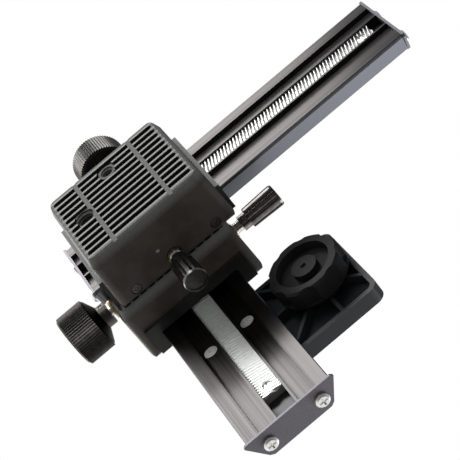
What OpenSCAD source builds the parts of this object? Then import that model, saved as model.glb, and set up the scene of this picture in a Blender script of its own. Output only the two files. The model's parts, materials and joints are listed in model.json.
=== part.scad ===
// Four-way macro focusing rail: two identical rack-and-pinion slides crossed on each other,
// a tripod sole below and a camera plate with a captive screw on top.
// The sole of the base block lies at z = 0, centred on the origin. The lower rail runs along X,
// the upper rail along Y.

/* [Block] */
// Length of the ribbed sole along its rail
sole_l = 59.5; // [56:0.5:64]
// Width of the ribbed sole across its rail
sole_w = 59.5; // [58:0.5:64]
// Height from the sole to the ends of the two legs
block_h = 29; // [28:0.5:34]
// How far the block grows on each side from the sole to the leg ends, along the rail
flare_l = 2; // [1.5:0.25:3]
// The same growth across the rail
flare_w = 1.5; // [1.5:0.25:3]
// Height of the bevelled skirt round the sole
bevel_h = 5; // [4:0.5:6]
// How far the block widens on each side over that skirt
bevel_in = 1.2; // [0.8:0.1:1.4]
// Radius of the upright corners
corner_r = 4; // [3:0.2:4.6]
// Radius of the outer edges of the leg ends
leg_r = 2.4; // [1.6:0.2:2.8]
// Thickness of the legs beside the liner, measured at the width of the sole
leg_t = 2.75; // [2.25:0.25:3.5]
// Chamfer round the sole
sole_chamfer = 0.8; // [0.4:0.1:1.2]

/* [Ribbed sole] */
// Distance from rib to rib
rib_pitch = 4.5; // [4:0.1:5]
// Width of one rib
rib_w = 1.4; // [1.1:0.1:2]
// Depth of the grooves between the ribs
rib_d = 1.5; // [1:0.1:2]
// Ribs on each side of the middle one
rib_side_count = 5; // [4:1:5]
// Half width of the middle ribbed section
section_w = 14.2; // [12:0.1:15]
// Width of the two smooth bands between the sections
band_w = 2.1; // [1.6:0.1:2.8]
// Depth of the smooth bands
band_d = 0.6; // [0.3:0.1:1]
// Width of the rim across the ends of the grooves
rim_w = 1.6; // [1.2:0.1:2.4]

/* [Tripod threads] */
// Diameter of the small thread
thread_small_d = 6.4; // [6:0.1:7]
// Distance of the small thread from the middle, towards the focus knob
thread_small_y = 20.4; // [18:0.2:21]
// Diameter of the large thread
thread_large_d = 9.5; // [9:0.1:10]
// Distance of the large thread from the middle along the rail
thread_large_x = 19.9; // [18:0.1:20.5]
// Distance of the large thread from the middle across the rail
thread_large_y = 2; // [0:0.5:4]
// Wall round each thread
boss_wall = 1.4; // [1.2:0.1:2]
// How far the face of a thread's boss lies behind the rib tips
boss_sink = 1; // [0.6:0.1:1.2]
// Material left above the small thread, under the pinion shaft
thread_web = 1.7; // [1.2:0.1:2.2]

/* [Liner] */
// Thickness of the liner under the rail
liner_floor = 5.3; // [4.6:0.1:5.8]
// How far the liner stands out of the block at each end
liner_over = 1.5; // [0.8:0.1:2.2]
// How far the liner stays below the leg ends
liner_drop = 1.2; // [0.6:0.1:2]

/* [Rail] */
// Length of each rail
rail_l = 172; // [160:1:180]
// Width of the rail over its rack face
rail_w = 42; // [40:0.5:44]
// Thickness of the rail
rail_t = 10.6; // [10:0.1:11.4]
// Height of the upright land beside the rack face
land_h = 1.6; // [1.2:0.1:2]
// How far each flank leans in from the land to the far face
flank_in = 4.6; // [4:0.1:5.2]
// Width of the channel that holds the rack
channel_w = 9.7; // [9.4:0.1:10.2]
// Thickness of the lip on each side of the channel
lip_t = 1; // [0.8:0.1:1.3]
// Width of the outer flange
flange_w = 6.8; // [6:0.1:7]
// Depth of the recess between lip and flange
recess_d = 2.5; // [2:0.1:2.8]
// Gap between a block's leg ends and what passes over them
pass_gap = 0.5; // [0.4:0.1:0.8]
// Running gap between rail and liner
slide_gap = 0.2; // [0.15:0.05:0.3]

/* [Rack] */
// Normal module of the teeth
tooth_module = 0.55; // [0.5:0.05:0.6]
// Helix angle of the teeth
helix = 15; // [10:1:18]
// Distance from the rail's far end to the rack
rack_start = 6; // [4:0.5:10]
// Distance from the rail's other end to the rack
rack_end = 16; // [12:0.5:24]
// Width of the rack
rack_w = 9.5; // [9:0.1:9.6]
// Thickness of the rack over its teeth
rack_t = 4; // [3.6:0.1:4.4]
// How far the tooth tips lie behind the rack face
rack_sink = 0.7; // [0.5:0.1:0.9]
// Distance of the rack's screws from its ends
rack_screw_in = 6; // [5:0.5:8]
// Shank diameter of the rack's screws
rack_screw_d = 2.2; // [2:0.1:2.5]
// Head diameter of the rack's screws
rack_head_d = 4.2; // [3.8:0.1:4.6]
// Head height of the rack's screws
rack_head_h = 0.9; // [0.7:0.1:1.1]
// How deep the rack's screws reach into the rail
rack_grip = 3.5; // [3:0.1:4]

/* [Pinion] */
// Number of teeth
pinion_teeth = 18; // [17:1:19]
// Width of the toothed part
pinion_face = 8; // [6:0.5:9]
// Diameter of the shaft
shaft_d = 5; // [4.5:0.1:5.4]
// Running clearance of the shaft in its bushes, on the radius
bush_fit = 0.04; // [0.02:0.01:0.08]
// Wall of the bushes
bush_wall = 1.1; // [0.8:0.1:1.3]
// Length of the bush at the shaft's far end
inner_bush_l = 5; // [4:0.5:7]
// Distance of that bush from the teeth
inner_bush_gap = 7; // [5:0.5:9]
// Diameter of the outer bush's flange
bush_flange_d = 9.4; // [8.6:0.2:10.2]
// Thickness of the outer bush's flange
bush_flange_t = 2; // [1.2:0.1:2.2]
// Depth of the flat seats under the flanges of bush and insert
seat_d = 0.3; // [0.2:0.05:0.5]

/* [Focus knob] */
// Diameter over the knurl
knob_d = 25.4; // [23:0.2:26]
// Length of the knurled part
knob_l = 14.7; // [12:0.1:16]
// Ribs round the knurl
knurl_count = 64; // [48:4:72]
// Depth of the knurl
knurl_d = 0.4; // [0.3:0.05:0.5]
// Length of the cone between knurl and collar
cone_l = 2.7; // [2:0.1:3.4]
// Diameter of the collar
collar_d = 11.2; // [10.6:0.2:13]
// Length of the collar
collar_l = 4.1; // [3.4:0.1:5]
// Gap from the block's side to the collar
collar_gap = 3; // [2.6:0.1:5]
// Diameter of the grub screw in the collar
grub_d = 2; // [1.6:0.1:2.2]
// Width of the rim round the dish in the end face
knob_rim = 3; // [2:0.5:4]
// How much farther out the base unit's focus knob sits than the cross unit's
base_knob_out = 2.6; // [0:0.2:4]

/* [Lock knob] */
// Height of the lock screw above the sole
lock_z = 24.3; // [23.6:0.1:24.4]
// Diameter of the fluted knob at its end
lock_d = 11.2; // [10:0.2:12]
// Diameter of the fluted knob next to its neck
lock_near_d = 10.2; // [9:0.2:11]
// Length of the fluted knob
lock_l = 17; // [14:0.5:20]
// Gap from the block's side to the fluted part
lock_gap = 8.5; // [7:0.5:10]
// Flutes round the knob
flute_count = 8; // [7:1:10]
// Diameter of the plain neck
neck_d = 7.6; // [7:0.2:8]
// Length of the plain neck
neck_l = 4; // [3:0.5:5]
// Diameter of the screw
stud_d = 5; // [4.5:0.1:5.2]
// Pitch of its thread
stud_pitch = 0.8; // [0.7:0.1:1]
// Outside diameter of the threaded insert
insert_d = 6.8; // [6.4:0.1:7]
// Diameter of the insert's flange
insert_flange_d = 7.6; // [7.4:0.1:8.4]
// Thickness of the insert's flange
insert_flange_t = 1.1; // [0.8:0.1:1.4]
// Diameter of the pad that presses on the rail
pad_d = 6; // [5.4:0.1:6.2]
// Gap left between pad and rail
pad_gap = 0.1; // [0.05:0.05:0.2]

/* [Liner screws] */
// Distance of the screws from the middle, along the rail
side_screw_x = 22; // [19:0.5:23]
// Height of the screws above the sole
side_screw_z = 25; // [24:0.1:25.6]
// Head diameter
side_head_d = 4.2; // [3.8:0.1:4.4]
// Depth of the recess for the head
side_sink = 1.6; // [1.3:0.1:1.8]
// Shank diameter
side_screw_d = 2.4; // [2:0.1:2.6]
// Length under the head
side_screw_l = 7; // [6:0.5:7.5]
// Diameter of the small drag screw in the side
drag_d = 1.8; // [1.4:0.1:2]
// Distance of the drag screw from the middle, along the rail
drag_x = 4.6; // [4.4:0.1:6]
// Height of the drag screw above the pinion shaft
drag_rise = 2.2; // [1.8:0.1:2.6]

/* [End plates] */
// Thickness of the plates
plate_t = 1.2; // [1:0.1:1.6]
// How far a plate stands out beside the rail
plate_side = 1.7; // [1.2:0.1:2]
// How far it reaches past the rack face
plate_low = 0.4; // [0.2:0.1:0.8]
// How far it reaches past the far face
plate_high = 1.6; // [0.6:0.1:2]
// Distance between its two screws
plate_screw_gap = 26.4; // [25:0.2:27.4]
// Height of its screws above the rack face
plate_screw_z = 6.3; // [6:0.1:6.6]
// Head diameter of its screws
pan_d = 6.4; // [5.8:0.1:6.8]
// Head height
pan_h = 1.9; // [1.6:0.1:2.4]
// Shank diameter
pan_shank_d = 3; // [2.6:0.1:3.2]
// Length under the head
pan_shank_l = 9; // [7:0.5:11]

/* [Places at rest] */
// How far the lower rail's short end lies from the base block's middle
lower_in = 36.7; // [36:0.1:45]
// How far the upper rail's short end lies from the cross block's middle
upper_in = 42.8; // [40:0.1:50]
// Place of the cross block along the lower rail, from the origin
cross_x = 4.9; // [0:0.1:5]
// Place of the cross block across the lower rail
cross_y = -1.3; // [-1.5:0.1:1.5]

/* [Cross block screws] */
// Distance between the screw pairs that hold the cross block, along the rail
mount_gap_x = 24; // [22:1:26]
// Distance between the two screws of a pair, across the rail
mount_gap_y = 19.8; // [19:0.1:20.5]
// Shank diameter of these screws and the camera plate's
mount_screw_d = 4; // [3.6:0.1:4.2]
// Head diameter
mount_head_d = 6.4; // [6:0.1:6.8]
// Head height
mount_head_h = 2.6; // [2.2:0.1:3]
// Play round the head in its counterbore, on the radius
head_play = 0.5; // [0.3:0.1:0.6]
// Depth of the counterbore
mount_sink = 3.2; // [3:0.1:3.6]
// How deep the screws reach into the part they hold
mount_grip = 6; // [5:0.5:6.5]

/* [Camera plate] */
// Place of the plate's middle along the upper rail, from the cross block
deck_x = 65.2; // [64:0.2:68]
// Length of the plate along the rail
deck_l = 53; // [50:0.5:56]
// Reach of the plate past the rail's middle line on its free side
deck_out = 61.4; // [60:0.2:64]
// Reach of the plate past the middle line on the short side
deck_in = 21.6; // [21:0.1:22.4]
// Height of the plate
deck_h = 7.5; // [7:0.1:8.5]
// Thickness of its top
deck_top = 2.6; // [2.2:0.1:3]
// Thickness of its skirt and ribs
deck_wall = 2.4; // [2:0.1:2.8]
// Radius of its free corners
deck_r = 5; // [4:0.5:7]
// Size of the cut on its short side's front corner
deck_cut = 20; // [16:1:21]
// Place of the camera screw and the plate's screws, from the plate's middle
deck_hole_x = -2.4; // [-4:0.2:0]
// Distance of the camera screw from the rail's middle line
camera_y = 43.2; // [42:0.2:44]
// Thickness of the rubber pad
rubber_t = 1.2; // [0.8:0.1:1.6]
// Margin between the rubber pad and the plate's edge
rubber_in = 3; // [2:0.5:4]

/* [Camera screw] */
// Diameter of the camera screw's thread
camera_d = 6.35; // [6:0.05:6.4]
// Diameter of its plain shank, which keeps it captive in the plate
camera_shank_d = 5.2; // [4.8:0.1:5.6]
// How far the screw stands above the rubber pad
camera_up = 5; // [4:0.5:6]
// Diameter of the lobed knob
lobe_knob_d = 34.4; // [31:0.2:35]
// Height of the lobed knob
lobe_knob_h = 11.4; // [10:0.2:12]
// Lobes round the knob
lobe_count = 8; // [6:1:9]
// Radius of the hollow between two lobes
lobe_r = 7; // [5:0.5:8]
// Depth of that hollow
lobe_d = 1.6; // [1:0.1:1.8]
// Gap from the knob to the plate's skirt
lobe_gap = 0.6; // [0.4:0.1:1]
// Depth of the dish in the knob's face
dish_d = 4.5; // [3:0.5:5.5]
// Width of the knob's rim round the dish
lobe_rim = 4.5; // [4:0.1:5.5]
// Diameter of the knob's hub
hub_d = 13; // [12:0.5:14]
// Thickness of the washer under the plate
washer_t = 0.8; // [0.6:0.1:1]

/* [Hidden] */
$fn = 48;
eps = 0.01;

// Heights, from the sole up
rail_z = block_h + pass_gap - rail_t;
cross_z = rail_z + rail_t;
floor_z = rail_z - liner_floor;
liner_top = block_h - liner_drop;

// Toothing
transverse_module = tooth_module / cos(helix);
pitch_r = transverse_module * pinion_teeth / 2;
pinion_z = rail_z + rack_sink + tooth_module - pitch_r;
tooth_gap = 0.08;
root_depth = 1.25 * tooth_module;
pressure = 20;
pressure_t = atan(tan(pressure) / cos(helix));

// Sides of a block
leg_out_w = sole_w + 2 * flare_w;
leg_out_l = sole_l + 2 * flare_l;
liner_l = leg_out_l + 2 * liner_over;
liner_w = sole_w - 2 * leg_t;
thread_l = pinion_z - shaft_room() - thread_web - boss_sink;

// Rail
lower_out = rail_l - lower_in;
upper_out = rail_l - upper_in;
rack_l = rail_l - rack_start - rack_end;
step_y = rail_w / 2 - flange_w;
channel_d = rack_sink + rack_t;
far_half = rail_w / 2 - flank_in;

// Camera plate, in the upper rail's frame
deck_z = rail_t;
hole_x = deck_x + deck_hole_x;
rubber_z = deck_z + deck_h;
knob_low = deck_z - lobe_gap - lobe_knob_h;

function shaft_room() = shaft_d / 2 + 0.6;
function side_at(z) = sole_w / 2 + (z < bevel_h
    ? bevel_in * (z - sole_chamfer) / (bevel_h - sole_chamfer)
    : bevel_in + (flare_w - bevel_in) * min(1, (z - bevel_h) / (block_h - leg_r - bevel_h)));
function flank_at(z) = rail_w / 2 - max(0, z - land_h) * flank_in / (rail_t - land_h);
function arc(cx, cy, r, a0, a1, n = 6) =
    [for (i = [0:n]) [cx + r * cos(a0 + (a1 - a0) * i / n), cy + r * sin(a0 + (a1 - a0) * i / n)]];
function mirrored(points) = [for (i = [len(points) - 1:-1:0]) [-points[i][0], points[i][1]]];

// ---------- frames ----------

module at_cross() translate([cross_x, cross_y, cross_z]) rotate([0, 0, -90]) children();
module at_lower_rail() translate([-lower_out, 0, rail_z]) children();
module at_upper_rail() at_cross() translate([upper_out - rail_l, 0, rail_z]) children();
module at_deck() at_cross() translate([0, 0, rail_z]) children();
module along_y() rotate([-90, 0, 0]) children();
module across(length) rotate([90, 0, 90]) linear_extrude(length, center = true) children();

// ---------- block ----------

// Outline of the block seen along one of its sides: sole, bevelled skirt and flared side
module block_outline(sole, flare) {
    half = sole / 2;
    right = concat(
        [[half - sole_chamfer, 0], [half, sole_chamfer], [half + bevel_in, bevel_h]],
        arc(half + flare - leg_r, block_h - leg_r, leg_r, 0, 90)
    );
    polygon(concat(right, mirrored(right)));
}

// Takes the corner off along the line from one point to the next
module corner_cut(from, to) {
    run = to - from;
    play = 0.03;
    translate(from) rotate([-asin(run[1] / norm(run)), atan2(run[0], run[2]), 0])
        translate([-corner_r, -corner_r, -4]) difference() {
            cube([2 * corner_r, 2 * corner_r, norm(run) + 7]);
            translate([play, play, -1]) cylinder(r = corner_r, h = norm(run) + 9);
        }
}

module corner_cuts() {
    low = [sole_l / 2, sole_w / 2, sole_chamfer];
    mid = [sole_l / 2 + bevel_in, sole_w / 2 + bevel_in, bevel_h];
    high = [leg_out_l / 2, leg_out_w / 2, block_h - leg_r];
    corner_cut(low, mid);
    corner_cut(mid, high);
}

// The grooves between the ribs, closed and rounded at both ends
module sole_grooves() {
    half = (rib_pitch - rib_w) / 2;
    end = sole_l / 2 - rim_w - half;
    for (side = [-1, 1], i = [0:rib_side_count])
        translate([0, side * (i + 0.5) * rib_pitch, -eps])
            linear_extrude(rib_d + eps)
                polygon(concat(arc(end, 0, half, -90, 90, 4), arc(-end, 0, half, 90, 270, 4)));
}

// The two smooth bands, filled up again to their own depth
module sole_bands() {
    for (side = [-1, 1])
        translate([side * (section_w + band_w / 2), 0, band_d + rib_d / 2])
            cube([band_w, sole_w - 2, rib_d], center = true);
}

module band_recess() {
    for (side = [-1, 1])
        translate([side * (section_w + band_w / 2), 0, band_d / 2 - eps])
            cube([band_w, leg_out_w + 2, band_d + 2 * eps], center = true);
}

module thread_boss(x, y, d) {
    translate([x, y, boss_sink]) cylinder(d = d + 2 * boss_wall, h = rib_d);
}

module thread_clearing(x, y, d) {
    translate([x, y, -eps]) cylinder(d = d + 2 * boss_wall + 0.4, h = rib_d);
}

module block_holes() {
    // tripod threads
    translate([0, thread_small_y, 0]) cylinder(d = thread_small_d, h = boss_sink + thread_l);
    translate([thread_large_x, thread_large_y, 0]) cylinder(d = thread_large_d, h = boss_sink + thread_l);
    shaft_channel();
    // lock screw's insert
    translate([0, -leg_out_w / 2 - 1, lock_z]) along_y() cylinder(d = insert_d, h = leg_out_w / 2);
    translate([0, -side_at(lock_z) + seat_d, lock_z]) rotate([90, 0, 0])
        cylinder(d = insert_flange_d + 0.6, h = leg_out_w);
    // seat of the bush's flange
    translate([0, side_at(pinion_z) - seat_d, pinion_z]) along_y() cylinder(d = bush_flange_d + 0.6, h = leg_out_w);
    for (side = [-1, 1], x = [-1, 1]) side_screw_room(x * side_screw_x, side);
    translate([drag_x, -side_at(pinion_z + drag_rise) - 1, pinion_z + drag_rise]) along_y()
        cylinder(d = drag_d, h = 1 + drag_depth());
}

function drag_depth() = side_at(pinion_z + drag_rise) - liner_w / 2 - 0.4;

// Room for the pinion and its shaft, with the seats of the two bushes, in the block and the liner
module shaft_channel() {
    inner_end = pinion_face / 2 + inner_bush_gap + inner_bush_l;
    translate([0, 0, pinion_z]) along_y() {
        translate([0, 0, -inner_end])
            cylinder(d = shaft_d + 2 * bush_fit + 2 * bush_wall, h = inner_bush_l);
        translate([0, 0, -inner_end + inner_bush_l])
            cylinder(r = shaft_room(), h = inner_end - inner_bush_l + liner_w / 2 - bush_wall);
        translate([0, 0, liner_w / 2 - bush_wall])
            cylinder(d = shaft_d + 2 * bush_fit + 2 * bush_wall, h = leg_out_w);
        translate([0, 0, -pinion_face / 2 - 0.6])
            cylinder(r = pitch_r + tooth_module + 0.6, h = pinion_face + 1.2);
    }
}

module side_screw_room(x, side) {
    face = side_at(side_screw_z);
    translate([x, side * face, side_screw_z]) rotate([side * 90, 0, 0]) {
        translate([0, 0, -2]) cylinder(d = side_head_d + 0.8, h = side_sink + 2);
        cylinder(d = side_screw_d, h = side_sink + side_screw_l);
    }
}

module block() {
    color([0.17, 0.165, 0.16]) difference() {
        union() {
            difference() {
                intersection() {
                    across(2 * leg_out_l) block_outline(sole_w, flare_w);
                    rotate([90, 0, 0]) linear_extrude(2 * leg_out_w, center = true) block_outline(sole_l, flare_l);
                }
                corner_cuts();
                rotate([0, 0, 180]) corner_cuts();
                mirror([1, 0, 0]) corner_cuts();
                mirror([0, 1, 0]) corner_cuts();
                translate([-leg_out_l, -liner_w / 2, floor_z]) cube([2 * leg_out_l, liner_w, block_h]);
                difference() {
                    sole_grooves();
                    sole_bands();
                }
                band_recess();
                thread_clearing(0, thread_small_y, thread_small_d);
            }
            thread_boss(0, thread_small_y, thread_small_d);
            thread_boss(thread_large_x, thread_large_y, thread_large_d);
        }
        block_holes();
    }
}

module cross_block() {
    difference() {
        block();
        for (x = [-1, 1], y = [-1, 1])
            translate([cross_y + x * mount_gap_y / 2, y * mount_gap_x / 2, -eps])
                cylinder(d = mount_screw_d, h = mount_grip + 1);
    }
}

// ---------- what sits in a block ----------

module liner_section() {
    gap = slide_gap;
    top = liner_top - rail_z;
    difference() {
        translate([-liner_w / 2, floor_z]) square([liner_w, liner_top - floor_z]);
        translate([0, rail_z]) polygon(concat(
            [[rail_w / 2 + gap, -gap], [rail_w / 2 + gap, land_h + gap], [flank_at(top) + 1.2 * gap, top + gap]],
            [[-flank_at(top) - 1.2 * gap, top + gap], [-rail_w / 2 - gap, land_h + gap], [-rail_w / 2 - gap, -gap]]
        ));
    }
}

module liner() {
    color([0.13, 0.13, 0.13]) difference() {
        across(liner_l) liner_section();
        shaft_channel();
        translate([0, -liner_w / 2 - 1, lock_z]) along_y() cylinder(d = pad_d + 0.2, h = liner_w / 2);
        for (side = [-1, 1], x = [-1, 1]) side_screw_room(x * side_screw_x, side);
    }
}

module liner_screws() {
    color([0.1, 0.1, 0.1])
        for (side = [-1, 1], x = [-1, 1])
            translate([x * side_screw_x, side * side_at(side_screw_z), side_screw_z]) rotate([side * 90, 0, 0])
                difference() {
                    union() {
                        translate([0, 0, side_sink - 1.2]) cylinder(d = side_head_d, h = 1.2);
                        cylinder(d = side_screw_d, h = side_sink + side_screw_l - 0.5);
                    }
                    translate([0, 0, -1]) cube([3, 0.7, 2 * side_sink + 0.2], center = true);
                    translate([0, 0, -1]) cube([0.7, 3, 2 * side_sink + 0.2], center = true);
                    translate([0, 0, -2]) cylinder(d = side_screw_d + 1, h = side_sink + 0.8);
                }
}

module drag_screw() {
    sunk = 0.3;
    color([0.75, 0.75, 0.75])
        translate([drag_x, -side_at(pinion_z + drag_rise) + sunk, pinion_z + drag_rise]) along_y()
            cylinder(d = drag_d, h = drag_depth() - 1.5 * sunk);
}

module pinion_bush() {
    face = side_at(pinion_z) - seat_d;
    color([0.78, 0.63, 0.4]) translate([0, 0, pinion_z]) along_y() difference() {
        union() {
            translate([0, 0, face]) cylinder(d = bush_flange_d, h = bush_flange_t);
            translate([0, 0, liner_w / 2 - bush_wall])
                cylinder(d = shaft_d + 2 * bush_fit + 2 * bush_wall, h = face - liner_w / 2 + bush_wall + 0.1);
        }
        cylinder(d = shaft_d + 2 * bush_fit, h = leg_out_w);
    }
}

module inner_bush() {
    near = pinion_face / 2 + inner_bush_gap;
    color([0.72, 0.56, 0.35]) translate([0, -near - inner_bush_l, pinion_z]) along_y() difference() {
        cylinder(d = shaft_d + 2 * bush_fit + 2 * bush_wall, h = inner_bush_l);
        translate([0, 0, -1]) cylinder(d = shaft_d + 2 * bush_fit, h = inner_bush_l + 2);
    }
}

module lock_insert() {
    face = side_at(lock_z) - seat_d;
    color([0.78, 0.63, 0.4]) translate([0, -face, lock_z]) along_y() difference() {
        union() {
            translate([0, 0, -insert_flange_t]) cylinder(d = insert_flange_d, h = insert_flange_t);
            translate([0, 0, -0.1]) cylinder(d = insert_d, h = face - liner_w / 2 + 0.1);
        }
        translate([0, 0, -insert_flange_t - 1]) cylinder(d = stud_d + 0.1, h = face);
    }
}

// ---------- pinion and focus knob ----------

function involute_r(base, t) = base * sqrt(1 + t * t);
function involute_a(t) = t * 180 / PI - atan(t);
module gear_outline() {
    base_r = pitch_r * cos(pressure_t);
    tip_r = pitch_r + tooth_module - tooth_gap;
    low_r = pitch_r - root_depth;
    half = 90 / pinion_teeth + involute_a(tan(pressure_t)) - tooth_gap / pitch_r * 90 / PI;
    tip_t = sqrt(pow(tip_r / base_r, 2) - 1);
    flank = [for (i = [0:4]) let (t = tip_t * i / 4) [involute_r(base_r, t), half - involute_a(t)]];
    polygon([for (k = [0:pinion_teeth - 1], p = concat(
        [[low_r, -half - 1]], [for (f = flank) [f[0], -f[1]]],
        [for (i = [len(flank) - 1:-1:0]) flank[i]], [[low_r, half + 1]]
    )) let (a = p[1] + k * 360 / pinion_teeth - 90) [p[0] * cos(a), p[0] * sin(a)]]);
}

// The shaft is longer by out where the focus knob sits farther out
module pinion(out) {
    far = pinion_face / 2 + inner_bush_gap + inner_bush_l;
    near = side_at(pinion_z) + out + collar_gap + collar_l + cone_l + knob_l - 3;
    turn = pinion_face * tan(helix) / pitch_r * 180 / PI;
    color([0.72, 0.72, 0.72]) translate([0, 0, pinion_z]) along_y() {
        translate([0, 0, -far + 0.5]) cylinder(d = shaft_d, h = far + near - 0.5);
        rotate([0, 0, turn / 2])
            linear_extrude(pinion_face, center = true, twist = turn, slices = 8) gear_outline();
    }
}

module focus_knob(out) {
    face = side_at(pinion_z) + out + collar_gap;
    knurl_from = face + collar_l + cone_l;
    bevel = 0.8;
    core_r = knob_d / 2 - knurl_d - 0.05;
    color([0.2, 0.2, 0.2]) translate([0, 0, pinion_z]) along_y() difference() {
        union() {
            translate([0, 0, face]) cylinder(d = collar_d, h = collar_l + 1);
            rotate_extrude() polygon([
                [0, face + collar_l], [collar_d / 2, face + collar_l], [core_r - bevel, knurl_from],
                [core_r, knurl_from + bevel], [core_r, knurl_from + knob_l - bevel],
                [core_r - bevel, knurl_from + knob_l], [0, knurl_from + knob_l]
            ]);
            translate([0, 0, knurl_from + bevel]) linear_extrude(knob_l - 2 * bevel) knurl_outline();
        }
        // bore for the shaft, seat of the grub screw and the shallow dish in the end face
        cylinder(d = shaft_d, h = knurl_from + knob_l - 3);
        translate([0, 0, face + collar_l / 2]) rotate([-90, 0, 0]) cylinder(d = grub_d, h = collar_d);
        translate([0, 0, knurl_from + knob_l - 1]) cylinder(d = knob_d - 2 * knob_rim, h = 2);
    }
}

module knurl_outline() {
    polygon([for (i = [0:2 * knurl_count - 1]) let (a = i * 180 / knurl_count, r = knob_d / 2 - (i % 2) * knurl_d)
        [r * cos(a), r * sin(a)]]);
}

module knob_grub_screw(out) {
    y = side_at(pinion_z) + out + collar_gap + collar_l / 2;
    color([0.3, 0.3, 0.3]) translate([0, y, pinion_z - shaft_d / 2]) rotate([180, 0, 0])
        cylinder(d = grub_d, h = (collar_d - shaft_d) / 2 - 0.4);
}

// ---------- lock ----------

module lock_pad() {
    rail_y = flank_at(lock_z - rail_z);
    color([0.85, 0.83, 0.78]) difference() {
        translate([0, -liner_w / 2 + pad_gap, lock_z]) along_y() cylinder(d = pad_d, h = liner_w / 2);
        translate([0, 0, rail_z]) across(2 * pad_d) polygon([
            [-rail_w / 2 - pad_gap, -pad_d], [-rail_w / 2 - 1.15 * pad_gap, land_h],
            [-far_half - 1.15 * pad_gap, rail_t],
            [-far_half - 1.15 * pad_gap, rail_t + pad_d], [rail_w, rail_t + pad_d], [rail_w, -pad_d]
        ]);
    }
}

module lock_stud() {
    face = side_at(lock_z);
    color([0.7, 0.7, 0.7]) translate([0, -face - lock_gap - lock_l * 0.7, lock_z]) along_y()
        cylinder(d = stud_d, h = face + lock_gap + lock_l * 0.7 - liner_w / 2);
}

module lock_knob() {
    face = side_at(lock_z);
    dome = 1.2;
    flute_r = 1.5;
    near_r = lock_near_d / 2;
    lean = atan2((lock_d - lock_near_d) / 2, lock_l - dome);
    color([0.16, 0.16, 0.17]) translate([0, -face - lock_gap, lock_z]) rotate([90, 0, 0]) difference() {
        union() {
            translate([0, 0, -neck_l]) cylinder(d = neck_d, h = neck_l + 1);
            rotate_extrude() polygon([
                [0, 0], [near_r - 0.4, 0], [near_r, 0.4], [lock_d / 2, lock_l - dome],
                [lock_d / 2 - 0.4, lock_l], [0, lock_l]
            ]);
        }
        translate([0, 0, -neck_l - 1]) cylinder(d = stud_d, h = neck_l + 1 + lock_l * 0.7);
        for (i = [0:flute_count - 1]) rotate([0, 0, (i + 0.5) * 360 / flute_count])
            translate([near_r + flute_r * 0.45, 0, 0]) rotate([0, lean, 0])
                translate([0, 0, -1]) cylinder(r = flute_r, h = lock_l);
        translate([0, 0, lock_l - 0.7]) cylinder(d = lock_d - 2.4, h = 1);
    }
}

// ---------- rail ----------

module rail_outline() {
    half = rail_w / 2;
    lip_out = channel_w / 2 + lip_t;
    right = [
        [channel_w / 2, channel_d], [channel_w / 2, 0], [lip_out, 0], [lip_out, recess_d],
        [step_y, recess_d], [step_y, 0], [half - 0.4, 0], [half, 0.4], [half, land_h], [far_half, rail_t]
    ];
    polygon(concat(right, mirrored(right)));
}

// A rail from x = 0 to rail_l; screw_places lists the counterbored holes
module rail(screw_places) {
    color([0.3, 0.3, 0.31]) difference() {
        translate([rail_l / 2, 0, 0]) across(rail_l) rail_outline();
        for (p = screw_places) translate([p[0], p[1], recess_d]) {
            translate([0, 0, -recess_d - 1]) cylinder(d = mount_head_d + 2 * head_play, h = recess_d + 1 + mount_sink);
            cylinder(d = mount_screw_d + 0.3, h = rail_t);
        }
        for (x = [0, rail_l - pan_shank_l], y = [-1, 1])
            translate([x, y * plate_screw_gap / 2, plate_screw_z]) rotate([0, 90, 0])
                cylinder(d = pan_shank_d, h = pan_shank_l);
        for (x = rack_screw_places()) translate([x, 0, channel_d - eps]) cylinder(d = rack_screw_d, h = rack_grip + 0.4);
    }
}

function rack_screw_places() = [rack_start + rack_screw_in, rack_start + rack_l - rack_screw_in];

// Section of the teeth square to their length; tooth spaces are centred on multiples of the pitch
module rack_teeth_outline(first, last) {
    pitch = PI * tooth_module;
    tip = pitch / 4 - tooth_module * tan(pressure) - tooth_gap / 2;
    low = pitch / 4 + root_depth * tan(pressure) - tooth_gap / 2;
    height = tooth_module + root_depth;
    polygon(concat(
        [for (i = [first:last], p = [[low, height], [tip, 0], [-tip, 0], [-low, height]])
            [(i + 0.5) * pitch - p[0], p[1]]],
        [[(last + 1) * pitch, rack_t], [first * pitch, rack_t]]
    ));
}

// A rack in its rail's frame, with a tooth space over x = mesh_x at the middle
module rack(mesh_x) {
    pitch = PI * tooth_module;
    first = floor((rack_start - mesh_x) * cos(helix) / pitch) - 3;
    last = ceil((rack_start + rack_l - mesh_x) * cos(helix) / pitch) + 3;
    color([0.82, 0.83, 0.82]) difference() {
        intersection() {
            translate([rack_start, -rack_w / 2, rack_sink]) cube([rack_l, rack_w, rack_t]);
            translate([mesh_x, 0, rack_sink]) rotate([0, 0, helix]) rotate([90, 0, 0])
                linear_extrude(rail_l, center = true) rack_teeth_outline(first, last);
        }
        for (x = rack_screw_places()) translate([x, 0, rack_sink - eps]) {
            cylinder(d = rack_screw_d, h = rack_t + 1);
            cylinder(d = rack_head_d, h = rack_t / 2 + eps);
        }
    }
}

module rack_screws() {
    color([0.8, 0.8, 0.8]) for (x = rack_screw_places()) translate([x, 0, rack_sink]) difference() {
        union() {
            translate([0, 0, rack_t / 2 - rack_head_h]) cylinder(d = rack_head_d, h = rack_head_h);
            translate([0, 0, rack_t / 2 - 0.1]) cylinder(d = rack_screw_d, h = rack_t / 2 + rack_grip + 0.1);
        }
        translate([0, 0, rack_t / 2 - rack_head_h]) cube([rack_head_d, 0.6, 0.8], center = true);
    }
}

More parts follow.
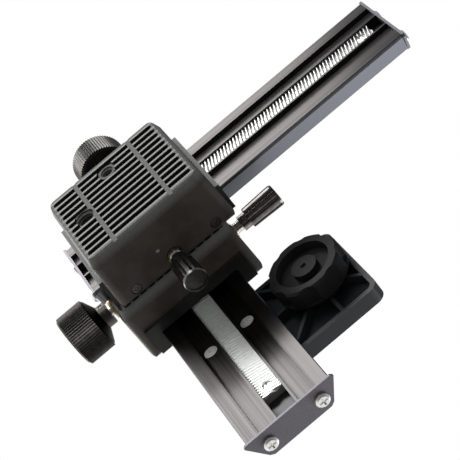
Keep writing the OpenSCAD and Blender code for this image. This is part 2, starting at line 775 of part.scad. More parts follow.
module end_plate() {
    low_half = rail_w / 2 + plate_side;
    high_half = far_half - 0.6;
    clip = 1.2;
    slope = (low_half - high_half) / (rail_t + plate_low + plate_high);
    right = [
        [low_half - clip, -plate_low], [low_half, -plate_low + clip],
        [high_half + clip * slope, rail_t + plate_high - clip], [high_half - clip, rail_t + plate_high]
    ];
    color([0.23, 0.24, 0.26]) difference() {
        across(plate_t) polygon(concat(right, mirrored(right)));
        for (y = [-1, 1]) translate([-plate_t, y * plate_screw_gap / 2, plate_screw_z]) rotate([0, 90, 0])
            cylinder(d = pan_shank_d + 0.3, h = 2 * plate_t);
    }
}

module end_plate_screws() {
    color([0.85, 0.85, 0.85])
        for (end = [[0, -1], [rail_l, 1]], y = [-1, 1])
            translate([end[0] + end[1] * plate_t, y * plate_screw_gap / 2, plate_screw_z])
                rotate([0, end[1] * 90, 0]) difference() {
                    union() {
                        rotate_extrude() polygon([
                            [0, 0], [pan_d / 2, 0], [pan_d / 2, pan_h * 0.55], [pan_d / 2 - 0.9, pan_h], [0, pan_h]
                        ]);
                        translate([0, 0, -pan_shank_l + 0.5]) cylinder(d = pan_shank_d, h = pan_shank_l);
                    }
                    translate([0, 0, pan_h]) cube([pan_d * 0.6, 0.8, 2], center = true);
                    translate([0, 0, pan_h]) cube([0.8, pan_d * 0.6, 2], center = true);
                }
}

// A cheese-head screw with its head in a rail's counterbore, gripping what lies on the far face
module mount_screw() {
    color([0.75, 0.75, 0.75]) translate([0, 0, recess_d + mount_sink]) difference() {
        union() {
            translate([0, 0, -mount_head_h]) cylinder(d = mount_head_d, h = mount_head_h);
            translate([0, 0, -0.1]) cylinder(d = mount_screw_d, h = rail_t - recess_d - mount_sink + mount_grip);
        }
        translate([0, 0, -mount_head_h]) cube([mount_head_d * 0.6, 0.9, 2.4], center = true);
        translate([0, 0, -mount_head_h]) cube([0.9, mount_head_d * 0.6, 2.4], center = true);
    }
}

lower_screw_places = [for (x = [-1, 1], y = [-1, 1])
    [lower_out + cross_x + x * mount_gap_x / 2, y * mount_gap_y / 2]];
upper_screw_places = [for (y = [-1, 1]) [rail_l - upper_out + hole_x, y * mount_gap_y / 2]];

// ---------- camera plate, in the upper rail's frame centred on the cross block ----------

module deck_outline(inset) {
    x0 = deck_x - deck_l / 2 + inset;
    x1 = deck_x + deck_l / 2 - inset;
    y0 = -deck_out + inset;
    y1 = deck_in - inset;
    r = max(deck_r - inset, 0.5);
    polygon(concat(
        arc(x0 + r, y0 + r, r, 180, 270), arc(x1 - r, y0 + r, r, 270, 360),
        [[x1, y1 - deck_cut], [x1 - deck_cut, y1]], arc(x0 + 2, y1 - 2, 2, 90, 180)
    ));
}

module camera_plate() {
    hub_room = hub_d / 2 + 0.5;
    color([0.15, 0.155, 0.16]) difference() {
        translate([0, 0, deck_z]) {
            translate([0, 0, deck_h - deck_top]) linear_extrude(deck_top) deck_outline(0);
            linear_extrude(deck_h - deck_top + eps) difference() {
                deck_outline(0);
                deck_pockets();
            }
        }
        translate([hole_x, -camera_y, deck_z - 1]) cylinder(r = hub_room, h = 1 + deck_h - deck_top);
        translate([hole_x, -camera_y, 0]) cylinder(d = camera_d + 0.6, h = 3 * deck_h);
        for (y = [-1, 1]) translate([hole_x, y * mount_gap_y / 2, deck_z - eps])
            cylinder(d = mount_screw_d, h = mount_grip);
    }
}

// Hollows under the plate: everything inside the skirt but the rail's seat, the screw's boss and the ribs
module deck_pockets() {
    boss_r = hub_d / 2 + 0.5 + deck_wall;
    difference() {
        intersection() {
            deck_outline(deck_wall);
            translate([deck_x - deck_l, -2 * deck_out]) square([2 * deck_l, 2 * deck_out - far_half - 1.5]);
        }
        translate([hole_x, -camera_y]) {
            circle(boss_r);
            for (a = [0, 45, 90, 135]) rotate(a) square([2 * deck_l, deck_wall * 0.7], center = true);
        }
    }
}

module camera_plate_screws() {
    for (y = [-1, 1]) translate([hole_x, y * mount_gap_y / 2, 0])
        color([0.75, 0.75, 0.75]) translate([0, 0, recess_d + mount_sink]) difference() {
            union() {
                translate([0, 0, -mount_head_h]) cylinder(d = mount_head_d, h = mount_head_h);
                translate([0, 0, -0.1])
                    cylinder(d = mount_screw_d, h = rail_t - recess_d - mount_sink + mount_grip - 1);
            }
            translate([0, 0, -mount_head_h]) cube([mount_head_d * 0.6, 0.9, 2.4], center = true);
            translate([0, 0, -mount_head_h]) cube([0.9, mount_head_d * 0.6, 2.4], center = true);
        }
}

module camera_pad() {
    color([0.08, 0.08, 0.08]) translate([0, 0, rubber_z]) difference() {
        linear_extrude(rubber_t) deck_outline(rubber_in);
        translate([hole_x, -camera_y, -1]) cylinder(d = camera_d + 2, h = rubber_t + 2);
    }
}

module camera_knob() {
    r = lobe_knob_d / 2;
    bevel = 1;
    color([0.12, 0.12, 0.13]) translate([hole_x, -camera_y, knob_low]) difference() {
        union() {
            rotate_extrude() polygon([
                [0, 0], [r - bevel, 0], [r, bevel], [r, lobe_knob_h - 2], [r - 1.5, lobe_knob_h], [0, lobe_knob_h]
            ]);
            translate([0, 0, lobe_knob_h - 1])
                cylinder(d = hub_d, h = 1 + lobe_gap + deck_h - deck_top - washer_t - 0.3);
        }
        for (i = [0:lobe_count - 1]) rotate([0, 0, (i + 0.5) * 360 / lobe_count])
            translate([r + lobe_r - lobe_d, 0, -1]) cylinder(r = lobe_r, h = lobe_knob_h + 1 - 2.6);
        // dish round the raised centre
        translate([0, 0, -eps]) difference() {
            cylinder(r = r - lobe_rim, h = dish_d);
            translate([0, 0, 1.2]) cylinder(d = hub_d - 1, h = dish_d * 2);
        }
        cube([2.4, 2.4, 4], center = true);
        translate([0, 0, dish_d]) cylinder(d = camera_shank_d, h = 2 * lobe_knob_h);
    }
}

module camera_screw() {
    tip = 0.6;
    top = rubber_z + rubber_t + camera_up;
    color([0.75, 0.75, 0.75]) translate([hole_x, -camera_y, 0]) {
        translate([0, 0, knob_low + dish_d])
            cylinder(d = camera_shank_d, h = rubber_z - knob_low - dish_d + 0.1);
        translate([0, 0, rubber_z]) cylinder(d = camera_d, h = rubber_t + camera_up - tip);
        translate([0, 0, top - tip]) cylinder(d1 = camera_d, d2 = camera_d - 2 * tip, h = tip);
    }
}

module camera_washer() {
    color([0.8, 0.8, 0.8]) translate([hole_x, -camera_y, rubber_z - deck_top - washer_t]) difference() {
        cylinder(d = hub_d - 1, h = washer_t);
        translate([0, 0, -1]) cylinder(d = camera_shank_d + 0.1, h = washer_t + 2);
    }
}

// ---------- the whole rail ----------

block();  // base_block
liner();  // base_liner
liner_screws();  // base_liner_screws
drag_screw();  // base_drag_screw
pinion_bush();  // base_pinion_bush
inner_bush();  // base_inner_bush
lock_insert();  // base_lock_insert
pinion(base_knob_out);  // base_pinion
focus_knob(base_knob_out);  // base_focus_knob
knob_grub_screw(base_knob_out);  // base_knob_grub_screw
lock_pad();  // base_lock_pad
lock_knob();  // base_lock_knob
lock_stud();  // base_lock_stud

at_lower_rail() rail(lower_screw_places);  // lower_rail
at_lower_rail() rack(lower_out);  // lower_rack
at_lower_rail() rack_screws();  // lower_rack_screws
at_lower_rail() translate([-plate_t / 2, 0, 0]) end_plate();  // lower_outer_end_plate
at_lower_rail() translate([rail_l + plate_t / 2, 0, 0]) end_plate();  // lower_inner_end_plate
at_lower_rail() end_plate_screws();  // lower_end_plate_screws
at_lower_rail() for (p = lower_screw_places) translate([p[0], p[1], 0]) mount_screw();  // cross_mount_screws

at_cross() cross_block();
at_cross() liner();  // cross_liner
at_cross() liner_screws();  // cross_liner_screws
at_cross() drag_screw();  // cross_drag_screw
at_cross() pinion_bush();  // cross_pinion_bush
at_cross() inner_bush();  // cross_inner_bush
at_cross() lock_insert();  // cross_lock_insert
at_cross() pinion(0);  // cross_pinion
at_cross() focus_knob(0);  // cross_focus_knob
at_cross() knob_grub_screw(0);  // cross_knob_grub_screw
at_cross() lock_pad();  // cross_lock_pad
at_cross() lock_knob();  // cross_lock_knob
at_cross() lock_stud();  // cross_lock_stud

at_upper_rail() rail(upper_screw_places);  // upper_rail
at_upper_rail() rack(rail_l - upper_out);  // upper_rack
at_upper_rail() rack_screws();  // upper_rack_screws
at_upper_rail() translate([rail_l + plate_t / 2, 0, 0]) end_plate();  // upper_front_end_plate
at_upper_rail() translate([-plate_t / 2, 0, 0]) end_plate();  // upper_rear_end_plate
at_upper_rail() end_plate_screws();  // upper_end_plate_screws

at_deck() camera_plate();
at_deck() camera_plate_screws();
at_deck() camera_pad();
at_deck() camera_knob();
at_deck() camera_screw();
at_deck() camera_washer();
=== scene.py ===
import json
import math

import bpy
from mathutils import Matrix, Vector


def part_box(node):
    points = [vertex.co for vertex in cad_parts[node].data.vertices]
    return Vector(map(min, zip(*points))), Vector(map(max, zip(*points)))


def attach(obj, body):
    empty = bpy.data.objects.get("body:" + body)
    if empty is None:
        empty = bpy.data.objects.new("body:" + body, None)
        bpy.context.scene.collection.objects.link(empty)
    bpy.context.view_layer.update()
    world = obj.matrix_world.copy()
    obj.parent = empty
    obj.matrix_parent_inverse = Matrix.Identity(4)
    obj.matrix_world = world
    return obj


mm = 0.001
axisX, axisY = 0, 1
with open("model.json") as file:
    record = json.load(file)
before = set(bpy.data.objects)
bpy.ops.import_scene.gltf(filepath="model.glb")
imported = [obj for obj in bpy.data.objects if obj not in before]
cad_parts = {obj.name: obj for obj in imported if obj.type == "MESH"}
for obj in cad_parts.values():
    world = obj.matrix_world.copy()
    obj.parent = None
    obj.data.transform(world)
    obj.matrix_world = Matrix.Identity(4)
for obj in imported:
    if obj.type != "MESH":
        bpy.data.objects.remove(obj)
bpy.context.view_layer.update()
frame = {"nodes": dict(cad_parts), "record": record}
print("stage: frame loaded,", len(frame["nodes"]), "nodes")

# The camera stands low in front and looks up at the ribbed sole, as the photograph does.
camera = {
    "place": (-9.814, -723.159, -426.607),  # mm
    "right": (-0.76522, -0.36727, 0.52872),
    "up": (-0.64351, 0.41351, -0.64412),
    "back": (0.01794, -0.83314, -0.55278),
    "lens": 151.43,  # mm
    "sensor": 36,  # mm
    "clip": (0.01, 10),  # m
}


def makeCamera(data):
    lens = bpy.data.cameras.new("studioCamera")
    lens.lens, lens.sensor_width = data["lens"], data["sensor"]
    lens.clip_start, lens.clip_end = data["clip"]
    cam = bpy.data.objects.new("studioCamera", lens)
    bpy.context.collection.objects.link(cam)
    turn = Matrix((data["right"], data["up"], data["back"])).transposed()
    cam.matrix_world = Matrix.Translation(Vector(data["place"]) * mm) @ turn.to_4x4()
    bpy.context.scene.camera = cam


# From an sRGB hex colour, as it looks, to the linear one that a shader takes.
def linear(hexColour):
    parts = [int(hexColour[i : i + 2], 16) / 255 for i in (1, 3, 5)]
    return [c / 12.92 if c <= 0.04045 else ((c + 0.055) / 1.055) ** 2.4 for c in parts] + [1]


# Inputs are named, or numbered as Blender does. A Mix has its factor at 0 and its colours at 6 and 7. A
# MapRange has its value at 0, the span of that at 1 and 2, and what it gives at 3 and 4.
def addNode(tree, kind, settings=None, inputs=None):
    made = tree.nodes.new("ShaderNode" + kind)
    for key, value in (settings or {}).items():
        setattr(made, key, value)
    for key, value in (inputs or {}).items():
        socket = made.inputs[key]
        if isinstance(value, bpy.types.Node):
            value = value.outputs[0]
        if isinstance(value, bpy.types.NodeSocket):
            tree.links.new(value, socket)
        else:
            socket.default_value = value
    return made


def newMaterial(name):
    material = bpy.data.materials.new(name)
    material.use_nodes = True
    material.node_tree.nodes.clear()
    return material, material.node_tree


# Noise in the part's own coordinates. size is the width of one grain in mm, stretch how long it is drawn out
# on each axis.
def grain(tree, size, stretch=(1, 1, 1), detail=3.0):
    place = addNode(tree, "TexCoord").outputs["Object"]
    scaled = addNode(tree, "Mapping", inputs={0: place, 3: [1 / s for s in stretch]})
    return addNode(tree, "TexNoise", inputs={"Vector": scaled, "Scale": 1 / (size * mm), "Detail": detail})


# Settings of a MapRange that turns softly, and of a Mix of two colours.
smooth = {"interpolation_type": "SMOOTHSTEP"}
colours = {"data_type": "RGBA"}


# The span of a MapRange, as its inputs. A span of lengths has mm as its scale and counts from start, in m.
def ends(span, scale=1, start=0):
    return {1: start + span[0] * scale, 2: start + span[1] * scale}


# Patches of two shades, which turn from the dark one to the light one over a span of the noise.
def mottle(tree, noise, dark, light, span=(0.35, 0.65)):
    tone = addNode(tree, "MapRange", smooth, {0: noise, **ends(span)})
    return addNode(tree, "Mix", colours, {0: tone, 6: linear(dark), 7: linear(light)}).outputs[2]


# Die-cast aluminium under a matte black powder coat: a fine orange-peel grain that breaks up the light. Its
# colours paint light and shade in: a painted grey sheen along the ribs' crests, a painted highlight over the
# bevelled skirt, and painted shade down in the grooves and on their walls.
powderCoat = {
    "coat": "#342f29",
    "coatLight": "#3f3932",
    "skirt": "#64645f",
    "skirtDark": "#4e4e4a",
    "crestSheen": "#92938d",
    "crestSheenDark": "#6c6e6a",
    "crestSheenEdge": "#2d2d2b",
    "band": "#2e2d2c",
    "grooveShade": "#060606",
    "roughness": 0.5,
    "shine": 0.35,
    "sheenMottleSpan": (0.35, 0.7),
    "wallShare": 0.25,  # of the coat's colour, deep down in a groove
    "downSlope": (-0.8, -0.95),
    "leaningSlope": (-0.08, -0.2),
    "grainSize": 0.35,  # mm, as all lengths below
    "grainDepth": 0.02,
    "patchSize": 9.0,
    "ribPitch": 4.5,
    "crestSpan": (0.75, 0.4),  # from a rib's middle
    "bandSpan": (0.25, 0.45),  # up from the rib tips, as all below
    "floorSpan": (0.7, 0.85),
    "wallSpan": (0.7, 0.05),
    "soleSpan": (2.2, 1.8),
    "skirtSpan": (5.8, 1.2),
}


# across is the axis that crosses the ribs.
def makePowderCoat(name, node, across):
    c = powderCoat
    material, tree = newMaterial(name)
    low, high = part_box(node)
    tips, middle = low.z, (low[across] + high[across]) / 2
    fine = grain(tree, c["grainSize"])
    place = addNode(tree, "SeparateXYZ", inputs={0: addNode(tree, "TexCoord").outputs["Object"]})
    facing = addNode(tree, "SeparateXYZ", inputs={0: addNode(tree, "TexCoord").outputs["Normal"]})
    level, slope = place.outputs[2], facing.outputs[2]
    coat = mottle(tree, grain(tree, c["patchSize"]), c["coat"], c["coatLight"])
    # painted sheen: the rib crests facing down are lighter grey, fading to a dark tone toward each rib's
    # edges
    crestSheen = mottle(tree, fine, c["crestSheenDark"], c["crestSheen"], c["sheenMottleSpan"])
    fromMiddle = addNode(tree, "Math", {"operation": "SUBTRACT"}, {0: place.outputs[across], 1: middle})
    fromRib = addNode(tree, "Math", {"operation": "PINGPONG"}, {0: fromMiddle, 1: c["ribPitch"] / 2 * mm})
    crest = addNode(tree, "MapRange", smooth, {0: fromRib, **ends(c["crestSpan"], mm)})
    crestSheen = addNode(tree, "Mix", colours, {0: crest, 6: linear(c["crestSheenEdge"]), 7: crestSheen}).outputs[2]
    # rib tips lowest with the painted sheen, the smooth bands a little above them, the groove floors farthest
    # up and painted in deep shade
    behind = addNode(tree, "MapRange", smooth, {0: level, **ends(c["bandSpan"], mm, tips)})
    flat = addNode(tree, "Mix", colours, {0: behind, 6: crestSheen, 7: linear(c["band"])}).outputs[2]
    shadedDepth = addNode(tree, "MapRange", smooth, {0: level, **ends(c["floorSpan"], mm, tips)})
    flat = addNode(tree, "Mix", colours, {0: shadedDepth, 6: flat, 7: linear(c["grooveShade"])}).outputs[2]
    down = addNode(tree, "MapRange", smooth, {0: slope, **ends(c["downSlope"])})
    near = addNode(tree, "MapRange", smooth, {0: level, **ends(c["soleSpan"], mm, tips)})
    onSole = addNode(tree, "Math", {"operation": "MULTIPLY"}, {0: down, 1: near})
    # painted shade: the walls of the grooves darken with depth
    wallShade = addNode(tree, "MapRange", smooth, {0: level, **ends(c["wallSpan"], mm, tips), 3: c["wallShare"]})
    shadedWalls = addNode(tree, "Mix", colours, {0: wallShade, 6: linear(c["grooveShade"]), 7: coat}).outputs[2]
    side = addNode(tree, "Mix", colours, {0: near, 6: coat, 7: shadedWalls}).outputs[2]
    # the skirt leans outwards, the groove walls stand upright; the skirt is painted lighter than the coat as
    # a highlight
    leaning = addNode(tree, "MapRange", smooth, {0: slope, **ends(c["leaningSlope"])})
    lowDown = addNode(tree, "MapRange", smooth, {0: level, **ends(c["skirtSpan"], mm, tips)})
    skirtHighlightMask = addNode(tree, "Math", {"operation": "MULTIPLY"}, {0: leaning, 1: lowDown})
    skirt = mottle(tree, fine, c["skirtDark"], c["skirt"], c["sheenMottleSpan"])
    side = addNode(tree, "Mix", colours, {0: skirtHighlightMask, 6: side, 7: skirt}).outputs[2]
    colour = addNode(tree, "Mix", colours, {0: onSole, 6: side, 7: flat}).outputs[2]
    peel = addNode(tree, "Bump", inputs={"Height": fine, "Distance": c["grainDepth"] * mm})
    shader = addNode(tree, "BsdfPrincipled", inputs={
        "Base Color": colour,
        "Roughness": c["roughness"],
        "Specular IOR Level": c["shine"],
        "Normal": peel,
    })
    addNode(tree, "OutputMaterial", inputs={"Surface": shader})
    return material


# Extruded aluminium, black anodised: fine lines from the die run along the bar, so that its faces mirror the
# studio sharply along it and spread the light across it. The colour is chosen by slope: the flanks a little
# darker than the flat faces, the upright walls darker still as painted shade.
anodisedBar = {
    "face": "#5e5b5a",
    "faceDark": "#4d4b4b",
    "flank": "#505258",
    "wallShade": "#454546",
    "roughness": 0.29,
    "spread": 0.95,
    "toneSpan": (0.4, 0.6),
    "flankSlope": (0.1, 0.3),
    "faceSlope": (0.75, 0.9),
    "drawnOut": 400,  # a line's length over its width
    "lineSize": 0.5,  # mm, as all lengths below
    "lineDepth": 0.0006,
    "lineDetail": 4.0,
    "lineShare": 0.4,
    "streakSize": 2.5,
    "streakDetail": 2.0,
    "streakShare": 0.6,
    "recessFoot": (3.2, 4.2),  # up from the face with the rack, as the next is
    "recessTop": (9, 8),
}


# along is the axis that the bar lies on.
def makeAnodisedBar(name, node, along):
    c = anodisedBar
    material, tree = newMaterial(name)
    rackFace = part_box(node)[0].z
    stretch = [1, 1, 1]
    stretch[along] = c["drawnOut"]
    lines = grain(tree, c["lineSize"], stretch, c["lineDetail"])
    streaks = grain(tree, c["streakSize"], stretch, c["streakDetail"])
    place = addNode(tree, "SeparateXYZ", inputs={0: addNode(tree, "TexCoord").outputs["Object"]})
    facing = addNode(tree, "SeparateXYZ", inputs={0: addNode(tree, "TexCoord").outputs["Normal"]})
    level = addNode(tree, "Math", {"operation": "ABSOLUTE"}, {0: facing.outputs[2]})
    mixed = addNode(tree, "Math", {"operation": "MULTIPLY"}, {0: lines, 1: c["lineShare"]})
    mixed = addNode(tree, "Math", {"operation": "MULTIPLY_ADD"}, {0: streaks, 1: c["streakShare"], 2: mixed})
    face = mottle(tree, mixed, c["faceDark"], c["face"], c["toneSpan"])
    # painted shade: in the rack's channel and at the steps, about 4 to 8 mm up from the rack's face,
    # the flat faces take the dark colour of the walls
    shadedDepth = addNode(tree, "MapRange", smooth, {0: place.outputs[2], **ends(c["recessFoot"], mm, rackFace)})
    far = addNode(tree, "MapRange", smooth, {0: place.outputs[2], **ends(c["recessTop"], mm, rackFace)})
    recessShade = addNode(tree, "Math", {"operation": "MULTIPLY"}, {0: shadedDepth, 1: far})
    face = addNode(tree, "Mix", colours, {0: recessShade, 6: face, 7: linear(c["wallShade"])}).outputs[2]
    # painted shade: upright walls take the dark colour of the walls; the flanks are a little darker than the
    # faces
    sloped = addNode(tree, "MapRange", smooth, {0: level, **ends(c["flankSlope"])})
    side = addNode(tree, "Mix", colours, {0: sloped, 6: linear(c["wallShade"]), 7: linear(c["flank"])}).outputs[2]
    flat = addNode(tree, "MapRange", smooth, {0: level, **ends(c["faceSlope"])})
    colour = addNode(tree, "Mix", colours, {0: flat, 6: side, 7: face}).outputs[2]
    drawn = addNode(tree, "Bump", inputs={"Height": lines, "Distance": c["lineDepth"] * mm})
    shader = addNode(tree, "BsdfPrincipled", inputs={
        "Base Color": colour,
        "Metallic": 1.0,
        "Roughness": c["roughness"],
        "Anisotropic": c["spread"],
        "Tangent": addNode(tree, "Tangent", {"direction_type": "RADIAL", "axis": "XY"[along]}),
        "Normal": drawn,
    })
    addNode(tree, "OutputMaterial", inputs={"Surface": shader})
    return material


# Zinc-plated steel rack: bright tooth tips that mirror the studio, valleys painted darker as shade, and faint
# grey stains in that same darker colour.
zincRack = {
    "tip": "#e6e8e6",
    "valleyShadeAndStain": "#bcbcba",
    "metallic": 0.7,
    "roughness": 0.3,
    "valleySpan": (0.55, 1.2),  # mm up from the tips
    "stainSize": 2.5,  # mm
    "stainSpan": (0.5, 0.72),
    "stainShare": 0.25,
}


def makeZincRack(name, node):
    c = zincRack
    material, tree = newMaterial(name)
    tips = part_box(node)[0].z
    place = addNode(tree, "SeparateXYZ", inputs={0: addNode(tree, "TexCoord").outputs["Object"]})
    # painted shade: the valleys darken with depth below the tooth tips
    shadedDepth = addNode(tree, "MapRange", smooth, {0: place.outputs[2], **ends(c["valleySpan"], mm, tips)})
    clean = addNode(tree, "Mix", colours, {0: shadedDepth, 6: linear(c["tip"]), 7: linear(c["valleyShadeAndStain"])}).outputs[2]
    stains = grain(tree, c["stainSize"])
    stained = addNode(tree, "MapRange", smooth, {0: stains, **ends(c["stainSpan"]), 4: c["stainShare"]})
    colour = addNode(tree, "Mix", colours, {0: stained, 6: clean, 7: linear(c["valleyShadeAndStain"])}).outputs[2]
    shader = addNode(tree, "BsdfPrincipled", inputs={
        "Base Color": colour,
        "Metallic": c["metallic"],
        "Roughness": c["roughness"],
    })
    addNode(tree, "OutputMaterial", inputs={"Surface": shader})
    return material


# Black anodised aluminium, turned and knurled: each ridge catches the light. The cone behind the knurl, found
# by the way its faces point along the axis, is painted near black as shade.
anodisedKnob = {
    "knurl": "#504e4b",
    "knurlDark": "#444240",
    "cone": "#2a2827",
    "roughness": 0.34,
    "size": 2.0,  # mm
    "coneSlope": (-0.2, -0.35),
}


# axis is the one that the knob turns about.
def makeAnodisedKnob(name, axis):
    c = anodisedKnob
    material, tree = newMaterial(name)
    facing = addNode(tree, "SeparateXYZ", inputs={0: addNode(tree, "TexCoord").outputs["Normal"]})
    knurl = mottle(tree, grain(tree, c["size"]), c["knurlDark"], c["knurl"])
    coneShadeMask = addNode(tree, "MapRange", smooth, {0: facing.outputs[axis], **ends(c["coneSlope"])})
    colour = addNode(tree, "Mix", colours, {0: coneShadeMask, 6: knurl, 7: linear(c["cone"])}).outputs[2]
    shader = addNode(tree, "BsdfPrincipled", inputs={
        "Base Color": colour,
        "Metallic": 1.0,
        "Roughness": c["roughness"],
    })
    addNode(tree, "OutputMaterial", inputs={"Surface": shader})
    return material


# Machined metals. The lock knobs' black anodising shines along the flutes, the plates are blasted satin,
# brass and steel show fine turning marks, the screws' nickel is bright and the black oxide dull. size and
# depth of the marks are in mm.
machined = {
    "anodisedLockKnob": {"light": "#767370", "dark": "#62605d", "roughness": 0.25, "size": 2, "depth": 0.001},
    "anodisedPlate": {"light": "#757379", "dark": "#69676c", "roughness": 0.45, "size": 0.4, "depth": 0.004},
    "turnedBrass": {"light": "#c4ab8a", "dark": "#a38b6b", "roughness": 0.24, "size": 0.8, "depth": 0.001},
    "nickelScrew": {"light": "#fffefb", "dark": "#f0efeb", "roughness": 0.36, "size": 0.8, "depth": 0.001},
    "groundSteel": {"light": "#d9d7d2", "dark": "#bdbab4", "roughness": 0.22, "size": 0.8, "depth": 0.001},
    "blackOxide": {"light": "#74726f", "dark": "#5a5856", "roughness": 0.4, "size": 0.8, "depth": 0.002},
}


def makeMachined(name):
    c = machined[name]
    material, tree = newMaterial(name)
    marks = grain(tree, c["size"])
    turned = addNode(tree, "Bump", inputs={"Height": marks, "Distance": c["depth"] * mm})
    shader = addNode(tree, "BsdfPrincipled", inputs={
        "Base Color": mottle(tree, marks, c["dark"], c["light"]),
        "Metallic": 1.0,
        "Roughness": c["roughness"],
        "Normal": turned,
    })
    addNode(tree, "OutputMaterial", inputs={"Surface": shader})
    return material


# Moulded plastics and rubber: a spark-eroded grain that scatters the light, broad patches where the flow left
# the colour a little uneven, and a shine of its own for each. size and depth of the grain are in mm.
moulded = {
    "acetalLiner": {
        "light": "#262625", "dark": "#191918", "roughness": 0.38, "shine": 0.3, "size": 0.6, "depth": 0.006,
    },
    "texturedDeck": {
        "light": "#26282b", "dark": "#1d1f21", "roughness": 0.4, "shine": 0.35, "size": 0.5, "depth": 0.012,
    },
    "satinLobeKnob": {
        "light": "#222223", "dark": "#1a1a1b", "roughness": 0.34, "shine": 0.06, "size": 1.2, "depth": 0.004,
    },
    "nylonPad": {
        "light": "#e6e2d6", "dark": "#d6d1c3", "roughness": 0.5, "shine": 0.4, "size": 0.8, "depth": 0.01,
    },
    "rubberPad": {
        "light": "#1f1f1f", "dark": "#151515", "roughness": 0.8, "shine": 0.2, "size": 0.5, "depth": 0.04,
    },
}
flowPatch = {"size": 12.0, "span": (0.3, 0.7)}


def makeMoulded(name):
    c = moulded[name]
    material, tree = newMaterial(name)
    patches = grain(tree, flowPatch["size"])
    eroded = addNode(tree, "Bump", inputs={"Height": grain(tree, c["size"]), "Distance": c["depth"] * mm})
    shader = addNode(tree, "BsdfPrincipled", inputs={
        "Base Color": mottle(tree, patches, c["dark"], c["light"], flowPatch["span"]),
        "Roughness": c["roughness"],
        "Specular IOR Level": c["shine"],
        "Normal": eroded,
    })
    addNode(tree, "OutputMaterial", inputs={"Surface": shader})
    return material


materials = {
    "baseBlock": makePowderCoat("powderCoatBase", "base_block", axisY),
    "crossBlock": makePowderCoat("powderCoatCross", "cross_block", axisX),
    "lowerBar": makeAnodisedBar("anodisedLowerBar", "lower_rail", axisX),
    "upperBar": makeAnodisedBar("anodisedUpperBar", "upper_rail", axisY),
    "lowerRack": makeZincRack("zincLowerRack", "lower_rack"),
    "upperRack": makeZincRack("zincUpperRack", "upper_rack"),
    "baseKnob": makeAnodisedKnob("anodisedBaseKnob", axisY),
    "crossKnob": makeAnodisedKnob("anodisedCrossKnob", axisX),
}
for finish in machined:
    materials[finish] = makeMachined(finish)
for finish in moulded:
    materials[finish] = makeMoulded(finish)

# What each node is made of: by its whole name, or else by its name without "base_", "cross_", "lower_" or
# "upper_".
wholeNames = {
    "base_block": "baseBlock",
    "cross_block": "crossBlock",
    "lower_rail": "lowerBar",
    "upper_rail": "upperBar",
    "lower_rack": "lowerRack",
    "upper_rack": "upperRack",
    "base_focus_knob": "baseKnob",
    "cross_focus_knob": "crossKnob",
}
finishOf = {
    "liner": "acetalLiner",
    "liner_screws": "blackOxide",
    "drag_screw": "nickelScrew",
    "pinion_bush": "turnedBrass",
    "inner_bush": "turnedBrass",
    "lock_insert": "turnedBrass",
    "pinion": "groundSteel",
    "knob_grub_screw": "blackOxide",
    "lock_pad": "nylonPad",
    "lock_knob": "anodisedLockKnob",
    "lock_stud": "groundSteel",
    "rack_screws": "nickelScrew",
    "outer_end_plate": "anodisedPlate",
    "inner_end_plate": "anodisedPlate",
    "front_end_plate": "anodisedPlate",
    "rear_end_plate": "anodisedPlate",
    "end_plate_screws": "nickelScrew",
    "mount_screws": "nickelScrew",
    "camera_plate": "texturedDeck",
    "camera_plate_screws": "nickelScrew",
    "camera_pad": "rubberPad",
    "camera_knob": "satinLobeKnob",
    "camera_screw": "groundSteel",
    "camera_washer": "groundSteel",
}


def dressNodes():
    for name, solid in frame["nodes"].items():
        short = name
        for start in ("base_", "cross_", "lower_", "upper_"):
            if name.startswith(start):
                short = name[len(start) :]
        finish = wholeNames.get(name) or finishOf[short]
        solid.data.materials.clear()
        solid.data.materials.append(materials[finish])


dressNodes()
print("stage: nodes dressed")

# Screw threads, which the solids leave plain, all in mm. from is where a thread starts: the height over the
# sole in a tripod bore, the way out from the stud's inner end on a lock screw. host is its material, its body
# and its slot.
tripodThread = {"from": 1.3, "length": 8.6, "inside": True, "host": ("baseBlock", "base", "block")}
lockThread = {"from": 5.2, "length": 3.4, "inside": False, "radius": 2.8, "pitch": 0.8}
threadForm = {
    "depth": 0.6,  # of the pitch
    "sides": 40,
    "stepsPerTurn": 8,
    "taperSteps": 6,  # over which the helix runs out at each end
    "wallShade": 0.15,
}


def tripodThreadAt(mountName, pitch):
    mount = next(m for m in frame["record"]["mounts"] if m["name"] == mountName)
    start = Vector(mount["pos_m"]) / mm
    start.z = tripodThread["from"]
    radius = mount["dims"]["r_mm"]
    return {**tripodThread, "start": start, "axis": (0, 0, 1), "radius": radius, "pitch": pitch}


def lockThreadAt(stud, along, body):
    low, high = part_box(stud)
    start = (low + high) / 2 / mm
    start[along] = high[along] / mm - lockThread["from"]
    outwards = [0, 0, 0]
    outwards[along] = -1
    return {**lockThread, "start": start, "axis": outwards, "host": ("groundSteel", body, "steel")}


threads = {
    "tripodThreadSmall": tripodThreadAt("tripod_thread", 1.27),
    "tripodThreadLarge": tripodThreadAt("tripod_thread_large", 1.59),
    "baseLockThread": lockThreadAt("base_lock_stud", axisY, "base_lock_screw"),
    "crossLockThread": lockThreadAt("cross_lock_stud", axisX, "cross_lock_screw"),
}


